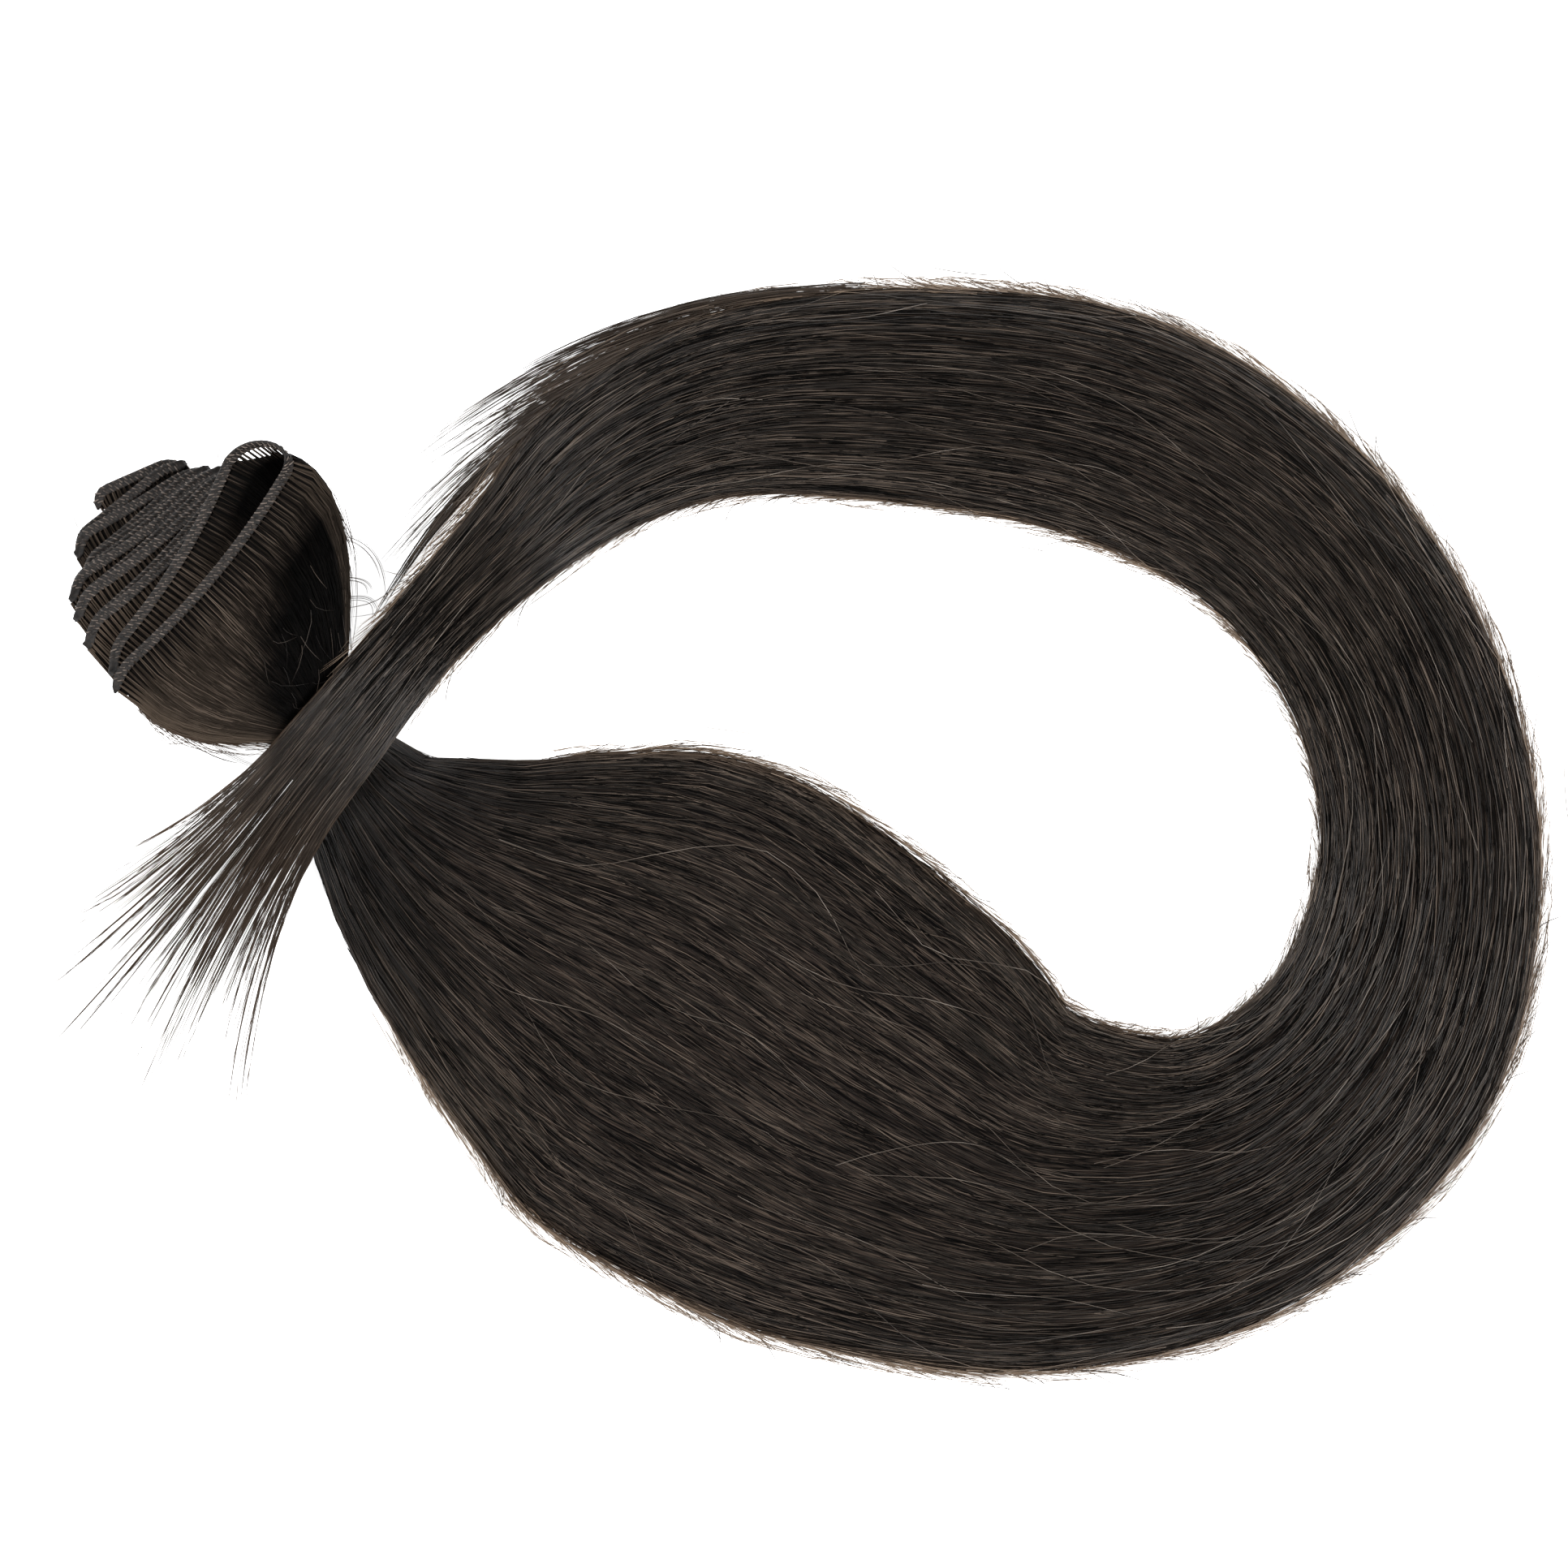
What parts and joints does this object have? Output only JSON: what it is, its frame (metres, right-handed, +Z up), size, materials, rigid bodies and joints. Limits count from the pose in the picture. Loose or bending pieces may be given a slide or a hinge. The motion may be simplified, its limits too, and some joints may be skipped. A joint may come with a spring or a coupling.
{
  "type": "sewn hair weft bundle",
  "caption": "Long straight dark-brown hair on a machine-sewn seam that is folded into a fanned stack, tied below it and laid down in one loop; sewn in to lengthen or thicken hair.",
  "frame": {"origin": "middle of the bundle's outline on the table it lies on", "axes": "+Z up from the table, +X from the folded seam towards the far side of the loop, +Y towards the tail's crossing side"},
  "size_m": [0.2998, 0.2206, 0.0257],
  "materials": {
    "hair": "dark-brown straight human hair, satin sheen along the strands",
    "thread": "grey-black sewing thread over hair roots",
    "elastic": "black covered elastic, matt"
  },
  "bodies": {
    "root": {"weft_band": "thread", "crown_hair": "hair", "tie_band": "elastic", "hank": "hair"}
  },
  "joints": []
}
